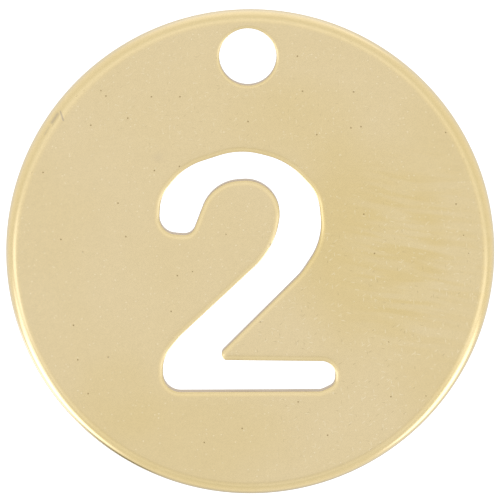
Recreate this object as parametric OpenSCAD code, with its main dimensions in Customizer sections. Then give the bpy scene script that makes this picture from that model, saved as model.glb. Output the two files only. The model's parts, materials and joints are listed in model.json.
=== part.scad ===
// Numbered hanging token: a polished brass disc with a rounded rim, a round hanging hole near
// its top and the numeral 2 cut right through it.
// Millimetres. The origin is the middle of the hanging hole, halfway through the thickness.
// The token hangs upright: +Z is up, the readable front faces -Y and +X is the reader's right.

/* [Disc] */
// Diameter of the disc
disc_d = 30; // [26:0.5:40]
// Thickness of the disc
disc_t = 1.2; // [0.8:0.05:2]
// How far in the rounding of the rim reaches, as a share of half the thickness
rim_roll = 1.25; // [0.9:0.01:1.28]

/* [Hanging hole] */
// Diameter of the hanging hole
hole_d = 3.5; // [2.4:0.1:4.4]
// Metal left between the hole and the edge of the disc
hole_land = 1.15; // [0.9:0.05:2]
// Sideways place of the hole from the disc's upright centre line
hole_shift = -0.15; // [-0.5:0.05:0.5]
// Width of the 45 degree edge break at both mouths of the hole
hole_break = 0.1; // [0.05:0.01:0.15]

/* [Numeral] */
// Height of the numeral, from the foot to the crown of the bowl
num_h = 14.9; // [12:0.1:17.9]
// Width of the numeral, across the foot
num_w = 10.8; // [9:0.1:13]
// How far the middle of the numeral lies below the disc's centre
num_drop = 1.15; // [0.5:0.05:1.5]
// Sideways place of the middle of the numeral from the disc's centre
num_shift = -0.15; // [-0.5:0.05:0.5]
// Height of the bar that forms the foot
foot_h = 1.95; // [1.5:0.05:2.4]
// Width of the stroke at the crown of the bowl
crown_h = 1.75; // [1.45:0.05:2.1]
// Width of the stroke on the right of the bowl
flank_w = 2.2; // [1.8:0.05:2.65]
// Width of the hook that ends the bowl
hook_w = 2.05; // [1.7:0.05:2.3]

/* [Hidden] */
$fn = 96;
brass = [0.85, 0.75, 0.52];

disc_r = disc_d / 2;
hole_r = hole_d / 2;
hole_rise = disc_r - hole_land - hole_r;

// Rounded rim: two shoulders and a nose, blended by short flanks at rim_slope to the faces.
half_t = disc_t / 2;
rim_slope = 53;
nose_r = half_t * 0.62;
nose_x = disc_r + nose_r / sin(rim_slope) - nose_r;
shoulder_x = nose_x - half_t / tan(rim_slope);
shoulder_r = (half_t * rim_roll - disc_r + shoulder_x) / tan(rim_slope / 2);

// Length of every cutter beyond the faces it goes through
over = 0.5;
// How far a rounding arc stands out from its exact tangent circle
proud = 0.0005;
// Most of a side that the roundings at its two ends may take up between them
side_share = 0.97;

// The numeral's roundings shrink and grow with it.
soft = min(num_w / 10.8, num_h / 14.9);

// Corners of the numeral as [across, up, radius], anticlockwise from the hook's tip. They are
// measured from the numeral's lower left, and every corner is rounded by its own true arc.
bowl_x = num_w * 0.927;
crown_y = num_h * 1.01;
hook_x = num_w * -0.008;
numeral_corners = [
    // the hook's tip, round the inside of the bowl and down the left of the stem
    [hook_x, num_h * 0.661, soft * 1.05],
    [hook_x + hook_w, num_h * 0.651, soft * 0.70],
    [num_w * 0.297, crown_y - crown_h - num_h * 0.023, soft * 2.50],
    [bowl_x - flank_w, crown_y - crown_h, soft * 2.10],
    [num_w * 0.649, num_h * 0.597, soft * 4.80],
    [num_w * 0.117, num_h * 0.235, soft * 2.85],
    // round the foot and into the notch
    [num_w * 0.015, num_h * 0.144, soft * 2.35],
    [num_w * 0.019, 0, soft * 1.10],
    [num_w * 0.918, num_h * 0.003, soft * 0.85],
    [num_w * 0.996, num_h * 0.030, soft * 0.60],
    [num_w * 1.001, foot_h * 0.98, soft * 0.85],
    [num_w * 0.306, foot_h * 1.02, soft * 0.35],
    // up the right of the stem, over the outside of the bowl and down to the hook
    [num_w * 0.802, num_h * 0.493, soft * 3.60],
    [bowl_x, num_h * 0.631, soft * 3.90],
    [num_w * 0.899, num_h * 0.826, soft * 2.65],
    [num_w * 0.723, num_h * 0.960, soft * 4.40],
    [num_w * 0.455, crown_y, soft * 4.50],
    [num_w * 0.144, num_h * 0.937, soft * 3.75],
    [num_w * 0.007, num_h * 0.817, soft * 2.40],
];

function unit(v) = v / norm(v);
function turn(a, b, c) = cross(b - a, c - b);

// Half the angle of corner b between a and c, and how far its rounding reaches along each side
function half_angle(a, b, c) = acos(unit(a - b) * unit(c - b)) / 2;
function reach(a, b, c, r) = r / tan(half_angle(a, b, c));

// Where the rounding's arc starts, where it ends, and its centre
function arc_start(a, b, c, r) = b + unit(a - b) * reach(a, b, c, r);
function arc_end(a, b, c, r) = b + unit(c - b) * reach(a, b, c, r);
function arc_centre(a, b, c, r) =
    b + unit(unit(a - b) + unit(c - b)) * norm([reach(a, b, c, r), r]);

// The piece of a corner's circle that rounds it. It stands proud by a hair and runs on just past
// the places where it crosses the two sides, so that no surfaces only touch.
module arc_piece(a, b, c, r) {
    chord_middle = (arc_start(a, b, c, r) + arc_end(a, b, c, r)) / 2;
    out = unit(b - chord_middle);
    run_on = 1.3 * sqrt(2 * r * proud);
    base = chord_middle - out * run_on * cos(half_angle(a, b, c));
    intersection() {
        translate(arc_centre(a, b, c, r)) circle(r + proud);
        translate(base) rotate(atan2(out[1], out[0]))
            translate([0, -1.5 * r]) square([1.5 * r, 3 * r]);
    }
}

// A polygon with anticlockwise corners [x, y, radius]: its chords, then a true arc on each one,
// added where the corner points out and taken away where it points in. Radius 0 stays sharp.
// Where two neighbouring arcs would meet on their shared side, both shrink until they fit.
module rounded_outline(corners) {
    n = len(corners);
    p = [for (q = corners) [q[0], q[1]]];
    prev = [for (i = [0:n - 1]) p[(i + n - 1) % n]];
    next = [for (i = [0:n - 1]) p[(i + 1) % n]];
    wanted = [for (i = [0:n - 1]) reach(prev[i], p[i], next[i], corners[i][2])];
    share = [
        for (i = [0:n - 1])
            side_share * norm(next[i] - p[i]) / max(wanted[i] + wanted[(i + 1) % n], proud)
    ];
    r = [for (i = [0:n - 1]) corners[i][2] * min(1, share[i], share[(i + n - 1) % n])];
    chords = [
        for (i = [0:n - 1], last = [false, true])
            if (r[i] > 0 || !last)
                last ? arc_end(prev[i], p[i], next[i], r[i])
                     : arc_start(prev[i], p[i], next[i], r[i])
    ];
    difference() {
        union() {
            polygon(chords);
            for (i = [0:n - 1])
                if (r[i] > 0 && turn(prev[i], p[i], next[i]) > 0)
                    arc_piece(prev[i], p[i], next[i], r[i]);
        }
        for (i = [0:n - 1])
            if (r[i] > 0 && turn(prev[i], p[i], next[i]) < 0)
                arc_piece(prev[i], p[i], next[i], r[i]);
    }
}

// Half of the disc's section: flat faces, shoulders that roll over, and a round nose
module disc_section() {
    rounded_outline([
        [0, -half_t, 0],
        [shoulder_x, -half_t, shoulder_r],
        [nose_x, 0, nose_r],
        [shoulder_x, half_t, shoulder_r],
        [0, half_t, 0],
    ]);
}

module blank() {
    rotate_extrude() disc_section();
}

// The bore with its two coned mouths, centred on the origin
module hanging_hole_cutter() {
    cylinder(h = disc_t + 2 * over, r = hole_r, center = true);
    for (side = [-1, 1])
        scale([1, 1, side])
            translate([0, 0, disc_t / 2 - hole_break])
                cylinder(h = hole_break + over, r1 = hole_r, r2 = hole_r + hole_break + over);
}

module numeral_cutter() {
    linear_extrude(disc_t + 2 * over, center = true) rounded_outline(numeral_corners);
}

module token_disc() {
    color(brass) rotate([90, 0, 0])
        difference() {
            translate([-hole_shift, -hole_rise, 0]) blank();
            hanging_hole_cutter();
            translate([
                num_shift - num_w / 2 - hole_shift,
                -num_drop - num_h / 2 - hole_rise,
                0
            ]) numeral_cutter();
        }
}

token_disc();
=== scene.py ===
"""Numbered hanging token: one disc of polished brass, its rim rounded, its openings rolled over
at their edges, its face softly worn. The disc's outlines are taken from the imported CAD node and
rebuilt as one closed, finely divided mesh."""

import json
import math

import bmesh
import bpy
import numpy as np
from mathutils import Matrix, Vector, noise
from mathutils.geometry import delaunay_2d_cdt


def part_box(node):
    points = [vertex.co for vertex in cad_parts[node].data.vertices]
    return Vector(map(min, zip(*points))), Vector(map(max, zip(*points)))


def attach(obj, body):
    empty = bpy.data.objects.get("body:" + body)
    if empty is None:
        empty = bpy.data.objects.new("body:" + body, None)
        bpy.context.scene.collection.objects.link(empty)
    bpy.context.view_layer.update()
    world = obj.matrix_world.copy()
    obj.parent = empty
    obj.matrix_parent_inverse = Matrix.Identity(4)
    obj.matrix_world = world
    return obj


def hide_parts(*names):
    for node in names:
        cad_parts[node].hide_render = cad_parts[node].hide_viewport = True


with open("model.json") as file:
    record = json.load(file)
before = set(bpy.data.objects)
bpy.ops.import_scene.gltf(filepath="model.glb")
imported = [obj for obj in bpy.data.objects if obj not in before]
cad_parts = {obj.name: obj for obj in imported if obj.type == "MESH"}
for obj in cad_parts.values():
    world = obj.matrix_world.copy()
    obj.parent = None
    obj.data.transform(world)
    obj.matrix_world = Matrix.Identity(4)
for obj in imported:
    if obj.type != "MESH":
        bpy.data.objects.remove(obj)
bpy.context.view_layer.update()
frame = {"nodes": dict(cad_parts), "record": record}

MM = 0.001
NODE = "token_disc"

# Edges of the openings as (reach in over the face, depth, bow): the punch rolled the front
# edges over, and the back edges stayed almost sharp. A bow of 1 is a quarter ellipse, and a
# smaller one falls away sooner and more evenly.
HOLE_ROLL = (0.20 * MM, 0.08 * MM, 0.7)
NUMERAL_ROLL = (0.34 * MM, 0.12 * MM, 0.7)
BACK_ROLL = (0.05 * MM, 0.04 * MM, 1.0)

# Steps over the rolled front edges, over the back edges and down the walls
ROLL_STEPS = 12
BACK_STEPS = 4
WALL_STEPS = 4

# An edge is stepped over by an angle that falls from 90 degrees at the face to 0 at the wall.
# Where its sine is below this, the polish gives way to the look of the cut wall.
CUT_FROM_SINE = 1 / 3

# The rim's rounding: its reach and bow, the steps from face to nose, and where hand polishing
# has made it wider, as (angle round the disc, half-width in degrees, extra reach)
RIM_REACH = 0.82 * MM
RIM_BOW = 0.92
RIM_STEPS = 26
RIM_UNEVEN = [(90, 26, 0.05 * MM), (143, 24, 0.20 * MM), (25, 26, 0.06 * MM)]

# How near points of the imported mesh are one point, and how near they are to a flat face
WELD = 1e-7
FLAT = 2e-7

# Spacing of the points round the rim and along the openings' outlines, and how many times more
# finely an outline is first traced
RIM_STEP = 0.10 * MM
OUTLINE_STEP = 0.07 * MM
TRACE_FINER = 6

# Spacing of the points over the face, how far they keep from every outline and how far they are
# nudged, both in spacings, the nudges' random seed, and how near corners are one, in mm
FACE_STEP = 0.26 * MM
FACE_CLEAR = 0.55
FACE_NUDGE = 0.12
FACE_SEED = 7
CORNER_WELD = 1e-6

# Shallow waves that polishing leaves in the face, as (wavelength, height), and how far from the
# middle of the noise each side takes its own
WAVES = [(9.0 * MM, 0.0032 * MM), (3.6 * MM, 0.0009 * MM)]
WAVE_OFF = 7.3

# Warm patches in the brass as (across, up, half-width, half-height, amount), from the centre
WARM_PATCHES = [
    (6.8 * MM, 0.7 * MM, 6.0 * MM, 7.5 * MM, 0.75),
    (11.5 * MM, -0.5 * MM, 5.0 * MM, 13.0 * MM, 0.40),
    (2.8 * MM, 8.0 * MM, 5.0 * MM, 3.5 * MM, 0.30),
    (-3.5 * MM, -11.5 * MM, 8.0 * MM, 4.0 * MM, 0.30),
    (-8.0 * MM, -9.0 * MM, 3.5 * MM, 3.5 * MM, 0.25),
]

# Polishing streaks: spacing, fall to the right, how far they bend, their width as a share of
# their length, and the patch they cover, as (across, up, half-width, half-height)
STREAK_SPACING = 0.95 * MM
STREAK_SLOPE = 0.16
STREAK_BEND = 1.1 * MM
STREAK_STRETCH = 0.12
STREAK_PATCH = (10.3 * MM, -0.3 * MM, 5.8 * MM, 8.6 * MM)

# The ways, in degrees, that the fine scratches run, and their length in widths
SCRATCH_TURNS = (-12, 38, 96)
SCRATCH_LENGTH = 4.5

# Where handling has scuffed the face most, laid out as the warm patches are
WORN_PATCHES = [
    (7.5 * MM, -5.0 * MM, 12.5 * MM, 12.5 * MM, 1.00),
    (-1.0 * MM, 9.5 * MM, 14.0 * MM, 5.5 * MM, 0.65),
]

# Dents, scratches and smudges of the front face as (across, up, angle, length, width, depth,
# darkening), measured from the disc's centre; each runs at its angle from +X, anticlockwise.
# The darkening is how much darker the colour is painted along a mark.
MARKS = [
    (-11.52 * MM, 8.48 * MM, -71, 0.55 * MM, 0.050 * MM, 0.016 * MM, 0.55),
    (-11.95 * MM, 8.33 * MM, 57, 0.60 * MM, 0.095 * MM, 0.022 * MM, 0.40),
    (-12.45 * MM, 7.55 * MM, 60, 0.50 * MM, 0.050 * MM, 0.010 * MM, 0.20),
    (0.72 * MM, 13.58 * MM, 38, 0.08 * MM, 0.050 * MM, 0.018 * MM, 0.50),
    (-5.63 * MM, 5.94 * MM, 20, 0.10 * MM, 0.260 * MM, 0.0, 0.10),
    (1.20 * MM, 0.52 * MM, 62, 0.10 * MM, 0.060 * MM, 0.020 * MM, 0.30),
]

# Colours of the metal: cool and warm brass, the lighter streaks, pits, bright specks, dark
# scuffs, the darker colour painted along the scratches, and the cut walls
COOL_BRASS = (0.770, 0.637, 0.397, 1)
WARM_BRASS = (0.722, 0.576, 0.289, 1)
STREAK_COLOUR = (0.785, 0.662, 0.425, 1)
PIT_COLOUR = (0.20, 0.13, 0.06, 1)
SPECK_COLOUR = (0.99, 0.90, 0.68, 1)
SCUFF_COLOUR = (0.36, 0.28, 0.15, 1)
MARK_DARK_COLOUR = (0.30, 0.26, 0.27, 1)
CUT_COLOUR = (0.52, 0.40, 0.25, 1)

# How much of each colour shows at most
STREAK_SHARE = 0.80
PIT_SHARE = 0.62
SPECK_SHARE = 0.50
SCUFF_SHARE = 0.30

# Spots in the metal, as (cells a metre, a spot's radius in cells, share of the cells that hold
# one), and the share of its radius within which a spot is full. Scratches and scuffs are spots
# drawn out along each of the ways above.
PITS = [(420.0, 0.030, 0.45), (900.0, 0.05, 0.12)]
SPECKS = [(1300.0, 0.09, 0.25), (2300.0, 0.14, 0.30)]
SCRATCHES = (1500.0, 0.045, 0.10)
LIGHT_SCUFFS = (2600.0, 0.11, 0.42)
DARK_SCUFFS = (2100.0, 0.07, 0.34)
SPOT_CORE = 0.4

# How far the large specks, scratches and scuffs are shifted against the other spots, and how
# far a metre of depth shifts every spot, so that front and back differ
SPECK_SHIFT = (13 * MM, 21 * MM, 0)
DEPTH_SHIFT = 31.0

# Noise in the metal, as (scale, detail, roughness): the warm patches, the streaks' bend, the
# streaks and their fading, fine and coarse grain, the specks' fading, the polish and the bump
WARM_NOISE = (150.0, 3.0, 0.5)
BEND_NOISE = (170.0, 1.0, 0.5)
STREAK_NOISE = (2 / STREAK_SPACING, 1.0, 0.5)
STREAK_FADE = (420.0, 2.0, 0.5)
FINE_GRAIN = (9500.0, 1.0, 0.5)
COARSE_GRAIN = (2600.0, 3.0, 0.7)
SPECK_FADE = (700.0, 2.0, 0.5)
POLISH_NOISE = (420.0, 5.0, 0.6)
BUMP_NOISE = (1700.0, 3.0, 0.5)

# The amount of warm noise, the streak noise's range from bare to full, the share of fine grain
# in the grain, and the grain's darkest and lightest tint with the values they start at
WARM_AMOUNT = 0.5
STREAK_RANGE = (0.36, 0.62)
FINE_SHARE = 0.6
GRAIN_TINTS = [(0.25, (0.950, 0.950, 0.950, 1)), (0.75, (1.035, 1.035, 1.035, 1))]

# Roughness of the polished face from smoothest to dullest, the range of the noise between
# them, and what pits and cut walls add to it
POLISH_ROUGHNESS = (0.14, 0.21)
POLISH_RANGE = (0.3, 0.7)
PIT_ROUGHNESS = 0.3
CUT_ROUGHNESS = 0.22

# Bump: its height and strength, and how much small waves, specks, which stand up, and pits,
# which go down, add to it
BUMP_HEIGHT = 0.004 * MM
BUMP_STRENGTH = 0.35
BUMP_WAVES = 0.35
BUMP_SPECKS = 0.8
BUMP_PITS = 3.0

# The floor: its colour, roughness and glow, its size in metres, and how far it lies below the
# token
FLOOR_COLOUR = (0.9, 0.9, 0.9, 1)
FLOOR_ROUGHNESS = 0.9
FLOOR_GLOW = 0.3
FLOOR_SIZE = 3.0
FLOOR_DROP = 15 * MM

# The camera looks from a little above the face's normal, through a long lens: its height angle
# in degrees, its distance in metres, the share of the frame that the disc fills, how far from
# the disc's centre it aims, the nearest and farthest that it sees, and its sensor's width in mm
VIEW_TILT = 7.4
CAMERA_DISTANCE = 0.40
DISC_SHARE = 0.9771
AIM_OFF = (-0.015 * MM, 0.147 * MM)
CAMERA_REACH = (0.01, 20.0)
SENSOR = 36.0

# A large soft key light above the camera, which the brass doesn't mirror: its size and place in
# metres, its power in watts and its tilt in degrees
KEY_SIZE = 0.5
KEY_PLACE = (0.0, -0.35, 0.75)
KEY_POWER = 0.8
KEY_TILT = 25

# The tent's light, as (degrees from the middle of what the face reflects, colour). What the
# face itself reflects is 1; the rim shows the rest, from its flat side outwards.
TENT = [
    (0, (1.00, 1.00, 1.00)), (13, (1.01, 1.00, 0.97)), (21, (1.07, 1.06, 1.00)),
    (28, (1.17, 1.16, 1.11)), (33, (1.14, 1.14, 1.09)), (42, (1.03, 1.02, 0.93)),
    (50, (1.00, 0.98, 0.88)), (58, (1.03, 1.01, 0.91)), (66, (1.06, 1.05, 0.96)),
    (76, (1.09, 1.07, 1.00)), (90, (1.08, 1.08, 1.07)), (108, (1.02, 1.06, 1.18)),
    (122, (0.98, 1.02, 1.20)), (140, (0.98, 1.00, 1.10)), (165, (1.00, 1.00, 1.00)),
]

# Panels in the tent (brighter) and flags (darker), as (degrees from the same middle, the way
# there on the disc's face, half-angle of the full part, half-angle of the whole, light added),
# and the colour of their light
PANELS = [
    (96, 88, 4, 43, 0.17),
    (86, 59, 2, 14, 0.17),
    (73, 221, 3, 21, 1.70),
    (58, 206, 2, 15, 1.00),
    (112, 224, 8, 20, 0.80),
    (71, 318, 6, 19, 1.40),
    (58, 328, 2, 13, 0.95),
    (38, 188, 2, 13, 0.60),
    (40, 344, 4, 14, 0.34),
    (27, 272, 10, 26, -0.13),
    (103, 241, 7, 12, -0.65),
    (116, 259, 18, 43, -0.23),
]
PANEL_TINT = (0.96, 1.00, 1.18)
WHITE = (1, 1, 1, 1)


# ---------------------------------------------------------------- outlines from the CAD node

def face_outlines(obj, y_face):
    """The closed outlines of obj's flat face at y = y_face, largest first, as (n, 2) arrays of
    x and z."""
    bm = bmesh.new()
    bm.from_mesh(obj.data)
    bm.transform(obj.matrix_world)
    bmesh.ops.remove_doubles(bm, verts=bm.verts, dist=WELD)
    flat = {f for f in bm.faces if all(abs(v.co.y - y_face) < FLAT for v in f.verts)}
    rim = [e for e in bm.edges if sum(f in flat for f in e.link_faces) == 1]
    onward = {}
    for e in rim:
        a, b = e.verts
        onward.setdefault(a, []).append(b)
        onward.setdefault(b, []).append(a)
    loops = []
    left = set(onward)
    while left:
        start = min(left, key=lambda v: v.index)
        loop = [start]
        left.discard(start)
        while True:
            ahead = [v for v in onward[loop[-1]] if v in left]
            if not ahead:
                break
            loop.append(ahead[0])
            left.discard(ahead[0])
        loops.append(np.array([(v.co.x, v.co.z) for v in loop]))
    bm.free()
    return sorted(loops, key=lambda p: -abs(signed_area(p)))


def signed_area(p):
    q = np.roll(p, -1, axis=0)
    return 0.5 * float(np.sum(p[:, 0] * q[:, 1] - q[:, 0] * p[:, 1]))


def smooth_loop(points, step):
    """An evenly stepped anticlockwise curve through points. The points lie on arcs and on
    straight sides; a tangent that leans towards the longer neighbour is true to both."""
    p = points if signed_area(points) > 0 else points[::-1]
    ahead = np.roll(p, -1, axis=0) - p
    behind = p - np.roll(p, 1, axis=0)
    length = np.hypot(*ahead.T)
    tangent = ahead + behind
    tangent /= np.hypot(*tangent.T)[:, None]
    fine = []
    for i in range(len(p)):
        j = (i + 1) % len(p)
        n = max(2, int(math.ceil(length[i] / (step / TRACE_FINER))))
        t = np.linspace(0, 1, n, endpoint=False)[:, None]
        fine.append(
            (2 * t**3 - 3 * t**2 + 1) * p[i]
            + (t**3 - 2 * t**2 + t) * tangent[i] * length[i]
            + (-2 * t**3 + 3 * t**2) * p[j]
            + (t**3 - t**2) * tangent[j] * length[i]
        )
    fine = np.vstack(fine)
    closed = np.vstack([fine, fine[:1]])
    along = np.r_[0, np.cumsum(np.hypot(*np.diff(closed, axis=0).T))]
    count = int(round(along[-1] / step))
    at = np.linspace(0, along[-1], count, endpoint=False)
    return np.c_[np.interp(at, along, closed[:, 0]), np.interp(at, along, closed[:, 1])]


def circle(centre, radius, step):
    n = int(round(2 * math.pi * radius / step))
    a = np.linspace(0, 2 * math.pi, n, endpoint=False)
    return np.c_[centre[0] + radius * np.cos(a), centre[1] + radius * np.sin(a)]


def outward(loop):
    """Unit normals of an anticlockwise loop, pointing away from what it encloses."""
    d = np.roll(loop, -1, axis=0) - np.roll(loop, 1, axis=0)
    n = np.c_[d[:, 1], -d[:, 0]]
    return n / np.hypot(*n.T)[:, None]


def rim_reach(angles):
    """How far the rim's rounding reaches in, at angles in degrees round the disc."""
    reach = np.full(len(angles), RIM_REACH)
    for at, half_width, extra in RIM_UNEVEN:
        off = (angles - at + 180) % 360 - 180
        reach += extra * np.exp(-((off / half_width) ** 2))
    return reach


# ---------------------------------------------------------------- the disc's mesh

def edge_section(half_t, front, back, front_steps, back_steps):
    """Points (distance in from the edge, y, cut) from the front face over the edge to the back
    face: a rounding, the wall, and a rounding. front and back are each a reach, a depth and a
    bow. cut runs from 0 on the polished face to 1 on the wall."""
    def quarter(reach, depth, bow, steps, side):
        return [(reach * (1 - math.cos(t)), side * (half_t - depth * (1 - math.sin(t)) ** bow),
                 max(0.0, 1 - math.sin(t) / CUT_FROM_SINE))
                for t in np.linspace(math.pi / 2, 0, steps + 1)]

    over, under = quarter(*front, front_steps, -1), quarter(*back, back_steps, 1)[::-1]
    # Roundings that meet, as on the rim, leave no wall, and all of them is polished.
    if over[-1][1] >= under[0][1]:
        return [(d, y, 0.0) for d, y, _ in over[:-1] + under]
    wall = np.linspace(over[-1][1], under[0][1], WALL_STEPS + 1)[1:-1]
    return over + [(0.0, y, 1.0) for y in wall] + under


def mark_depth(x, z):
    """How deep the dents and scratches go at a point measured from the disc's centre."""
    total = 0.0
    for mx, mz, angle, length, width, depth, _ in MARKS:
        a = math.radians(angle)
        along = (x - mx) * math.cos(a) + (z - mz) * math.sin(a)
        across = -(x - mx) * math.sin(a) + (z - mz) * math.cos(a)
        end = max(0.0, abs(along) - length / 2)
        total += depth * math.exp(-((across / width) ** 2) - (end / width) ** 2)
    return total


def wave_height(x, z, side):
    return sum(
        high * noise.noise(Vector((x / long, z / long, WAVE_OFF * side + i)))
        for i, (long, high) in enumerate(WAVES)
    )


def grid_points(centre, radius, step):
    """A triangular grid over a disc, each point nudged a little so that no rows line up."""
    rng = np.random.default_rng(FACE_SEED)
    row = step * math.sqrt(3) / 2
    out = []
    for j in range(-int(radius / row), int(radius / row) + 1):
        shift = step / 2 if j % 2 else 0.0
        for i in range(-int(radius / step) - 1, int(radius / step) + 2):
            x, z = i * step + shift, j * row
            if x * x + z * z < radius * radius:
                out.append((centre[0] + x, centre[1] + z))
    out = np.array(out)
    return out + rng.uniform(-FACE_NUDGE, FACE_NUDGE, out.shape) * step


def near(points, targets, limit):
    """Which points lie closer than limit to any of the targets."""
    cells = {}
    for k, (x, z) in enumerate(targets):
        cells.setdefault((int(x // limit), int(z // limit)), []).append(k)
    out = np.zeros(len(points), bool)
    for k, (x, z) in enumerate(points):
        col, row = int(x // limit), int(z // limit)
        mates = [
            m for a in (-1, 0, 1) for b in (-1, 0, 1) for m in cells.get((col + a, row + b), ())
        ]
        if mates:
            d = targets[mates] - (x, z)
            out[k] = np.min(np.sum(d * d, axis=1)) < limit * limit
    return out


def inside(points, loop):
    """Which points lie inside a closed loop."""
    x, z = points[:, 0], points[:, 1]
    hit = np.zeros(len(points), bool)
    for (x1, z1), (x2, z2) in zip(loop, np.roll(loop, -1, axis=0)):
        if z1 == z2:
            continue
        crosses = (z1 > z) != (z2 > z)
        hit ^= crosses & (x < (x2 - x1) * (z - z1) / (z2 - z1) + x1)
    return hit


def between(points, loops):
    """Which points lie inside the first loop and outside the others."""
    hit = inside(points, loops[0])
    for loop in loops[1:]:
        hit &= ~inside(points, loop)
    return hit


class Shell:
    """The disc's points, faces and cut values while they are put together."""

    def __init__(self, centre):
        self.centre = centre
        self.verts, self.faces, self.cuts = [], [], []

    def strip(self, loop, inward, section):
        """Rings of quads round one outline; inward points into the metal. Returns the first and
        the last ring, which border the front and the back face."""
        rings = []
        for d, y, cut in section:
            ring = loop + inward * d
            rings.append(range(len(self.verts), len(self.verts) + len(ring)))
            self.verts.extend((x, y, z) for x, z in ring)
            self.cuts.extend([cut] * len(ring))
        for a, b in zip(rings, rings[1:]):
            n = len(a)
            self.faces.extend((a[i], a[(i + 1) % n], b[(i + 1) % n], b[i]) for i in range(n))
        return rings[0], rings[-1]

    def fill(self, rings, y, grid):
        """One flat face: triangles between the rings that border it, the rim's first, by way of
        the grid's points that keep clear of them."""
        loops = [np.array([(self.verts[k][0], self.verts[k][2]) for k in ring])
                 for ring in rings]
        clear = ~near(grid, np.vstack(loops), FACE_STEP * FACE_CLEAR) & between(grid, loops)
        grid = grid[clear]
        ids = [k for ring in rings for k in ring]
        ids += range(len(self.verts), len(self.verts) + len(grid))
        self.verts.extend((x, y, z) for x, z in grid)
        self.cuts.extend([0.0] * len(grid))

        # The triangulation works in millimetres from the centre, where its numbers are sound.
        flat = [Vector(((self.verts[k][0] - self.centre[0]) / MM,
                        (self.verts[k][2] - self.centre[1]) / MM)) for k in ids]
        edges, start = [], 0
        for ring in rings:
            n = len(ring)
            edges += [(start + i, start + (i + 1) % n) for i in range(n)]
            start += n
        _, _, tris, source, _, _ = delaunay_2d_cdt(flat, edges, [], 0, CORNER_WELD)
        corners = [[source[c][0] for c in tri] for tri in tris]
        middles = [sum((flat[c] for c in k), Vector((0, 0))) / 3 for k in corners]
        solid = between(np.array([(m.x, m.y) for m in middles]),
                        [(loop - self.centre) / MM for loop in loops])
        self.faces.extend(tuple(ids[c] for c in k) for k, keep in zip(corners, solid) if keep)

    def wear(self, half_t):
        """Lowers the points by the polishing waves and, on the front, by the marks: all the way
        on the faces, and less and less towards the middle of the thickness."""
        for k, (x, y, z) in enumerate(self.verts):
            from_mid = abs(y) / half_t
            side = -1 if y < 0 else 1
            lowered = wave_height(x, z, side) + WAVES[0][1]
            if side < 0:
                lowered += mark_depth(x - self.centre[0], z - self.centre[1])
            self.verts[k] = (x, y - side * lowered * from_mid**2, z)

    def mesh(self, name):
        mesh = bpy.data.meshes.new(name)
        mesh.from_pydata(self.verts, [], self.faces)
        bm = bmesh.new()
        bm.from_mesh(mesh)
        bmesh.ops.recalc_face_normals(bm, faces=bm.faces)
        bm.to_mesh(mesh)
        bm.free()
        mesh.attributes.new("cut", "FLOAT", "POINT").data.foreach_set("value", self.cuts)
        mesh.polygons.foreach_set("use_smooth", [True] * len(mesh.polygons))
        mesh.update()
        return mesh


def build_disc(centre, radius, half_t, openings):
    """The whole disc as one closed mesh. openings are anticlockwise wall outlines, each with
    the rounding of its front edge."""
    shell = Shell(centre)
    rim = circle(centre, radius, RIM_STEP)
    reach = rim_reach(np.degrees(np.arctan2(rim[:, 1] - centre[1], rim[:, 0] - centre[0])))
    nose = (1.0, half_t, RIM_BOW)
    borders = [shell.strip(rim, -outward(rim) * reach[:, None],
                           edge_section(half_t, nose, nose, RIM_STEPS, RIM_STEPS))]
    for loop, roll in openings:
        borders.append(shell.strip(loop, outward(loop),
                                   edge_section(half_t, roll, BACK_ROLL, ROLL_STEPS, BACK_STEPS)))
    fronts, backs = zip(*borders)
    for rings, y in ((fronts, -half_t), (backs, half_t)):
        shell.fill(rings, y, grid_points(centre, radius - RIM_REACH, FACE_STEP))
    shell.wear(half_t)
    return shell.mesh("token")


# ---------------------------------------------------------------- materials

class Nodes:
    """Short calls for building a node tree."""

    def __init__(self, tree):
        self.tree = tree
        tree.nodes.clear()

    def add(self, kind, inputs=None, **props):
        node = self.tree.nodes.new(kind)
        for name, value in props.items():
            setattr(node, name, value)
        for key, value in (inputs or {}).items():
            if isinstance(value, bpy.types.NodeSocket):
                self.tree.links.new(value, node.inputs[key])
            else:
                node.inputs[key].default_value = value
        return node

    def math(self, operation, a, b=0.0):
        return self.add("ShaderNodeMath", {0: a, 1: b}, operation=operation).outputs[0]

    def smooth(self, value, low, high, top=1.0):
        """0 where value is low or beyond, top where it is high or beyond, eased between."""
        return self.add("ShaderNodeMapRange",
                        {"Value": value, "From Min": low, "From Max": high, "To Max": top},
                        interpolation_type="SMOOTHSTEP").outputs[0]

    def mix(self, factor, a, b, blend="MIX"):
        return self.add("ShaderNodeMix", {"Factor": factor, "A": a, "B": b}, data_type="RGBA",
                        blend_type=blend).outputs["Result"]

    def ramp(self, fac, stops):
        node = self.add("ShaderNodeValToRGB", {"Fac": fac})
        elements = node.color_ramp.elements
        while len(elements) < len(stops):
            elements.new(0.5)
        for element, (at, colour) in zip(elements, stops):
            element.position, element.color = at, colour
        return node.outputs["Color"]


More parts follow.
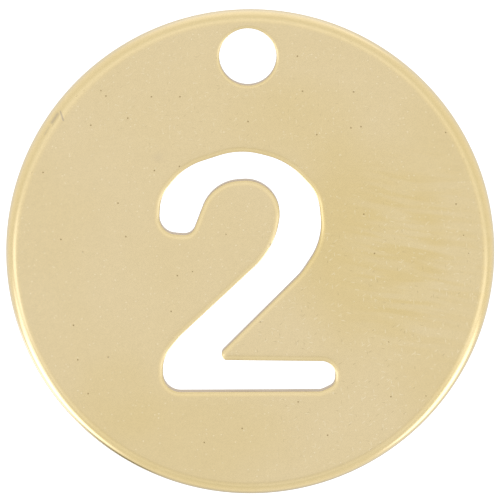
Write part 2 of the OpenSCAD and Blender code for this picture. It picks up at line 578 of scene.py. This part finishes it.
class FaceNodes(Nodes):
    """Calls for a material that is laid out over the token's faces, from the disc's centre."""

    def __init__(self, tree, centre):
        super().__init__(tree)
        self.coord = self.add("ShaderNodeTexCoord").outputs["Object"]
        axes = self.add("ShaderNodeSeparateXYZ", {0: self.coord}).outputs
        self.across = self.math("SUBTRACT", axes["X"], centre[0])
        self.upward = self.math("SUBTRACT", axes["Z"], centre[1])
        self.front = self.math("LESS_THAN", axes["Y"], 0.0)
        # Spots lie on the faces, so they are laid out in X and Z; Y only tells the sides apart.
        shifted = self.math("ADD", self.across, self.math("MULTIPLY", axes["Y"], DEPTH_SHIFT))
        self.place = self.add("ShaderNodeCombineXYZ", {0: shifted, 1: self.upward}).outputs[0]
        self.moved = self.add("ShaderNodeVectorMath", {0: self.place, 1: SPECK_SHIFT},
                              operation="ADD").outputs[0]

    def noise_at(self, scale, detail, roughness, vector=None):
        return self.add("ShaderNodeTexNoise",
                        {"Vector": self.coord if vector is None else vector, "Scale": scale,
                         "Detail": detail, "Roughness": roughness}).outputs["Fac"]

    def spots(self, place, scale, size, share):
        """Scattered round spots, 1 inside and 0 outside: size is a spot's radius in cells, and
        share is the part of the cells that hold one."""
        cells = self.add("ShaderNodeTexVoronoi", {"Vector": place, "Scale": scale},
                         voronoi_dimensions="2D")
        chosen = self.math("LESS_THAN", cells.outputs["Color"], share)
        soft = self.smooth(cells.outputs["Distance"], size, size * SPOT_CORE)
        return self.math("MULTIPLY", chosen, soft)

    def patch(self, x, z, size_x, size_z):
        """A soft round patch: 1 in its middle, 0 from its edge on."""
        dx = self.math("MULTIPLY", self.math("SUBTRACT", self.across, x), 1 / size_x)
        dz = self.math("MULTIPLY", self.math("SUBTRACT", self.upward, z), 1 / size_z)
        square = self.math("ADD", self.math("MULTIPLY", dx, dx), self.math("MULTIPLY", dz, dz))
        return self.smooth(square, 1.0, 0.0)

    def patches(self, first, spread):
        """The sum of several patches, each times its amount, on top of first."""
        total = first
        for x, z, size_x, size_z, amount in spread:
            one = self.math("MULTIPLY", self.patch(x, z, size_x, size_z), amount)
            total = self.math("ADD", total, one)
        return total

    def mark(self, x, z, angle, length, width):
        """1 along a scratch and 0 away from it."""
        c, s = math.cos(math.radians(angle)), math.sin(math.radians(angle))
        dx, dz = self.math("SUBTRACT", self.across, x), self.math("SUBTRACT", self.upward, z)
        along = self.math("ADD", self.math("MULTIPLY", dx, c), self.math("MULTIPLY", dz, s))
        aside = self.math("SUBTRACT", self.math("MULTIPLY", dz, c), self.math("MULTIPLY", dx, s))
        end = self.math("SUBTRACT", self.math("ABSOLUTE", along), length / 2)
        end = self.math("MULTIPLY", self.math("MAXIMUM", end, 0.0), 1 / width)
        aside = self.math("MULTIPLY", aside, 1 / width)
        square = self.math("ADD", self.math("MULTIPLY", end, end),
                           self.math("MULTIPLY", aside, aside))
        return self.math("POWER", math.exp(-1), square)


def warm_to_cool(n):
    """The metal's colour in large patches from cool to warm, as handled brass takes on."""
    warm = n.patches(n.math("MULTIPLY", n.noise_at(*WARM_NOISE), WARM_AMOUNT), WARM_PATCHES)
    return n.ramp(warm, [(0.0, COOL_BRASS), (1.0, WARM_BRASS)])


def polishing_streaks(n):
    """Uneven bands across the right half of the front that bend a little and fade out."""
    bend = n.math("MULTIPLY", n.math("SUBTRACT", n.noise_at(*BEND_NOISE), 0.5), STREAK_BEND)
    run = n.math("ADD", n.math("ADD", n.upward, n.math("MULTIPLY", n.across, STREAK_SLOPE)),
                 bend)
    stretched = n.add("ShaderNodeCombineXYZ",
                      {0: n.math("MULTIPLY", n.across, STREAK_STRETCH), 1: run}).outputs[0]
    bands = n.smooth(n.noise_at(*STREAK_NOISE, stretched), *STREAK_RANGE)
    streaks = n.math("MULTIPLY", bands, n.patch(*STREAK_PATCH))
    streaks = n.math("MULTIPLY", streaks, n.noise_at(*STREAK_FADE))
    return n.math("MULTIPLY", streaks, n.front)


def grain_tint(n):
    """Grain, fine and coarse, that makes the metal only just lighter and darker."""
    grain = n.math("ADD", n.math("MULTIPLY", n.noise_at(*FINE_GRAIN), FINE_SHARE),
                   n.math("MULTIPLY", n.noise_at(*COARSE_GRAIN), 1 - FINE_SHARE))
    return n.ramp(grain, GRAIN_TINTS)


def specks_and_scuffs(n):
    """Light specks and fine scratches all over both sides, and where the front is worn the
    light scuffs, which count as specks, and the dark ones."""
    specks = n.math("MAXIMUM", n.spots(n.moved, *SPECKS[0]), n.spots(n.place, *SPECKS[1]))
    light_scuffs = dark_scuffs = 0.0
    for turn in SCRATCH_TURNS:
        long_way = n.add("ShaderNodeMapping",
                         {"Vector": n.moved, "Rotation": (0, 0, math.radians(turn)),
                          "Scale": (SCRATCH_LENGTH, 1.0, 1.0)}, vector_type="TEXTURE").outputs[0]
        specks = n.math("MAXIMUM", specks, n.spots(long_way, *SCRATCHES))
        light_scuffs = n.math("MAXIMUM", n.spots(long_way, *LIGHT_SCUFFS), light_scuffs)
        dark_scuffs = n.math("MAXIMUM", n.spots(long_way, *DARK_SCUFFS), dark_scuffs)
    worn = n.math("MULTIPLY", n.patches(0.0, WORN_PATCHES), n.front)
    specks = n.math("MAXIMUM", specks, n.math("MULTIPLY", light_scuffs, worn))
    return (n.math("MULTIPLY", specks, n.noise_at(*SPECK_FADE)),
            n.math("MULTIPLY", dark_scuffs, worn))


# The colour painted darker along the dents, scratches and smudges, each by its darkening.
def darker_along_marks(n):
    darkening = 0.0
    for x, z, angle, length, width, _, amount in MARKS:
        one = n.math("MULTIPLY", n.mark(x, z, angle, length, width), amount)
        darkening = n.math("MAXIMUM", one, darkening)
    return n.math("MULTIPLY", darkening, n.front)


def brass_roughness(n, pits, cut):
    rough = n.add("ShaderNodeMapRange",
                  {"Value": n.noise_at(*POLISH_NOISE), "From Min": POLISH_RANGE[0],
                   "From Max": POLISH_RANGE[1], "To Min": POLISH_ROUGHNESS[0],
                   "To Max": POLISH_ROUGHNESS[1]}).outputs[0]
    rough = n.math("ADD", rough, n.math("MULTIPLY", pits, PIT_ROUGHNESS))
    return n.math("ADD", rough, n.math("MULTIPLY", cut, CUT_ROUGHNESS))


def brass_bump(n, pits, specks):
    height = n.math("MULTIPLY", n.noise_at(*BUMP_NOISE), BUMP_WAVES)
    height = n.math("SUBTRACT", height, n.math("MULTIPLY", pits, BUMP_PITS))
    height = n.math("ADD", height, n.math("MULTIPLY", specks, BUMP_SPECKS))
    return n.add("ShaderNodeBump", {"Height": height, "Strength": BUMP_STRENGTH,
                                    "Distance": BUMP_HEIGHT}).outputs[0]


def brass_material(centre):
    """Polished brass: warm patches, faint polishing streaks, fine grain, light specks, dark
    pits, scuffs where it is most worn and a darker colour painted along the scratches. The cut
    walls are duller."""
    mat = bpy.data.materials.new("brass_polished")
    mat.use_nodes = True
    n = FaceNodes(mat.node_tree, centre)
    pits = n.math("MAXIMUM", n.spots(n.place, *PITS[0]), n.spots(n.place, *PITS[1]))
    specks, scuffs = specks_and_scuffs(n)
    cut = n.add("ShaderNodeAttribute", attribute_name="cut").outputs["Fac"]

    metal = warm_to_cool(n)
    metal = n.mix(n.math("MULTIPLY", polishing_streaks(n), STREAK_SHARE), metal, STREAK_COLOUR)
    metal = n.mix(1.0, metal, grain_tint(n), "MULTIPLY")
    metal = n.mix(n.math("MULTIPLY", scuffs, SCUFF_SHARE), metal, SCUFF_COLOUR)
    metal = n.mix(n.math("MULTIPLY", pits, PIT_SHARE), metal, PIT_COLOUR)
    metal = n.mix(n.math("MULTIPLY", specks, SPECK_SHARE), metal, SPECK_COLOUR)
    # Darker colour painted along the marks
    metal = n.mix(darker_along_marks(n), metal, MARK_DARK_COLOUR)
    metal = n.mix(cut, metal, CUT_COLOUR)

    shader = n.add("ShaderNodeBsdfPrincipled",
                   {"Base Color": metal, "Metallic": 1.0,
                    "Roughness": brass_roughness(n, pits, cut),
                    "Normal": brass_bump(n, pits, specks)})
    n.add("ShaderNodeOutputMaterial", {"Surface": shader.outputs[0]})
    return mat


def floor_material():
    mat = bpy.data.materials.new("pale_floor")
    mat.use_nodes = True
    n = Nodes(mat.node_tree)
    shader = n.add("ShaderNodeBsdfPrincipled",
                   {"Base Color": FLOOR_COLOUR, "Roughness": FLOOR_ROUGHNESS,
                    "Emission Color": WHITE, "Emission Strength": FLOOR_GLOW})
    n.add("ShaderNodeOutputMaterial", {"Surface": shader.outputs[0]})
    return mat


# ---------------------------------------------------------------- the token

lo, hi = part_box(NODE)
half_t = (hi[1] - lo[1]) / 2
centre = np.array([(lo[0] + hi[0]) / 2, (lo[2] + hi[2]) / 2])
radius = min(hi[0] - lo[0], hi[2] - lo[2]) / 2

hole = next(m for m in frame["record"]["mounts"] if m["name"] == "hang_hole")
hole_centre = np.array([hole["pos_m"][0], hole["pos_m"][2]])
outlines = face_outlines(frame["nodes"][NODE], lo[1])
numeral = smooth_loop(outlines[1], OUTLINE_STEP)
hole_wall = circle(hole_centre, hole["dims"]["r_mm"] * MM, OUTLINE_STEP)

token = bpy.data.objects.new("token", build_disc(
    centre, radius, half_t, [(hole_wall, HOLE_ROLL), (numeral, NUMERAL_ROLL)]))
bpy.context.scene.collection.objects.link(token)
token.data.materials.append(brass_material(centre))
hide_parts(NODE)
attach(token, "root")


# ---------------------------------------------------------------- floor, light and camera

bpy.ops.mesh.primitive_plane_add(size=FLOOR_SIZE, location=(0, 0, lo[2] - FLOOR_DROP))
floor = bpy.context.object
floor.name = "floor"
floor.data.materials.append(floor_material())
floor.visible_glossy = False


def tent_way(off, around, tilt):
    """The direction off degrees away from what the face reflects of the camera's place, turned
    the way around on the face; tilt is the camera's height angle."""
    a, b, t = math.radians(off), math.radians(around), math.radians(tilt)
    x, y, z = math.sin(a) * math.cos(b), -math.cos(a), math.sin(a) * math.sin(b)
    return Vector((x, y * math.cos(t) - z * math.sin(t), y * math.sin(t) + z * math.cos(t)))


def light_tent(tilt):
    """The world: plain white where the camera looks past the token, and for the brass to
    reflect a soft tent with its panels and flags."""
    world = bpy.data.worlds.new("tent")
    bpy.context.scene.world = world
    world.use_nodes = True
    n = Nodes(world.node_tree)
    way = n.add("ShaderNodeTexCoord").outputs["Generated"]

    def cosine(off, around):
        return n.add("ShaderNodeVectorMath", {0: way, 1: tent_way(off, around, tilt)},
                     operation="DOT_PRODUCT").outputs["Value"]

    off = n.add("ShaderNodeMapRange", {"Value": cosine(0, 0), "From Min": 1.0,
                                       "From Max": -1.0}).outputs[0]
    stops = [((1 - math.cos(math.radians(at))) / 2, (*colour, 1)) for at, colour in TENT]
    tent = n.ramp(off, stops)
    for away, around, inner, outer, light in PANELS:
        share = n.smooth(cosine(away, around), math.cos(math.radians(outer)),
                         math.cos(math.radians(inner)), light)
        tent = n.add("ShaderNodeVectorMath", {0: share, 1: PANEL_TINT, 2: tent},
                     operation="MULTIPLY_ADD").outputs[0]
    seen = n.add("ShaderNodeLightPath").outputs["Is Camera Ray"]
    back = n.add("ShaderNodeBackground", {"Color": n.mix(seen, tent, WHITE)})
    n.add("ShaderNodeOutputWorld", {"Surface": back.outputs[0]})


def add_key_light():
    data = bpy.data.lights.new("key", "AREA")
    data.size = KEY_SIZE
    data.energy = KEY_POWER
    key = bpy.data.objects.new("key", data)
    key.location = KEY_PLACE
    key.rotation_euler = (math.radians(KEY_TILT), 0, 0)
    key.visible_camera = False
    key.visible_glossy = False
    bpy.context.scene.collection.objects.link(key)


def add_camera(centre, radius, tilt):
    data = bpy.data.cameras.new("camera")
    data.sensor_width = SENSOR
    data.lens = SENSOR * CAMERA_DISTANCE * DISC_SHARE / (2 * radius)
    data.clip_start, data.clip_end = CAMERA_REACH
    camera = bpy.data.objects.new("camera", data)
    bpy.context.scene.collection.objects.link(camera)
    back_off = Vector((0, -math.cos(math.radians(tilt)), math.sin(math.radians(tilt))))
    aim = Vector((centre[0] + AIM_OFF[0], 0, centre[1] + AIM_OFF[1]))
    camera.location = aim + back_off * CAMERA_DISTANCE
    camera.rotation_euler = back_off.to_track_quat("Z", "Y").to_euler()
    bpy.context.scene.camera = camera


light_tent(VIEW_TILT)
add_key_light()
add_camera(centre, radius, VIEW_TILT)
bpy.context.scene.view_settings.view_transform = "Standard"
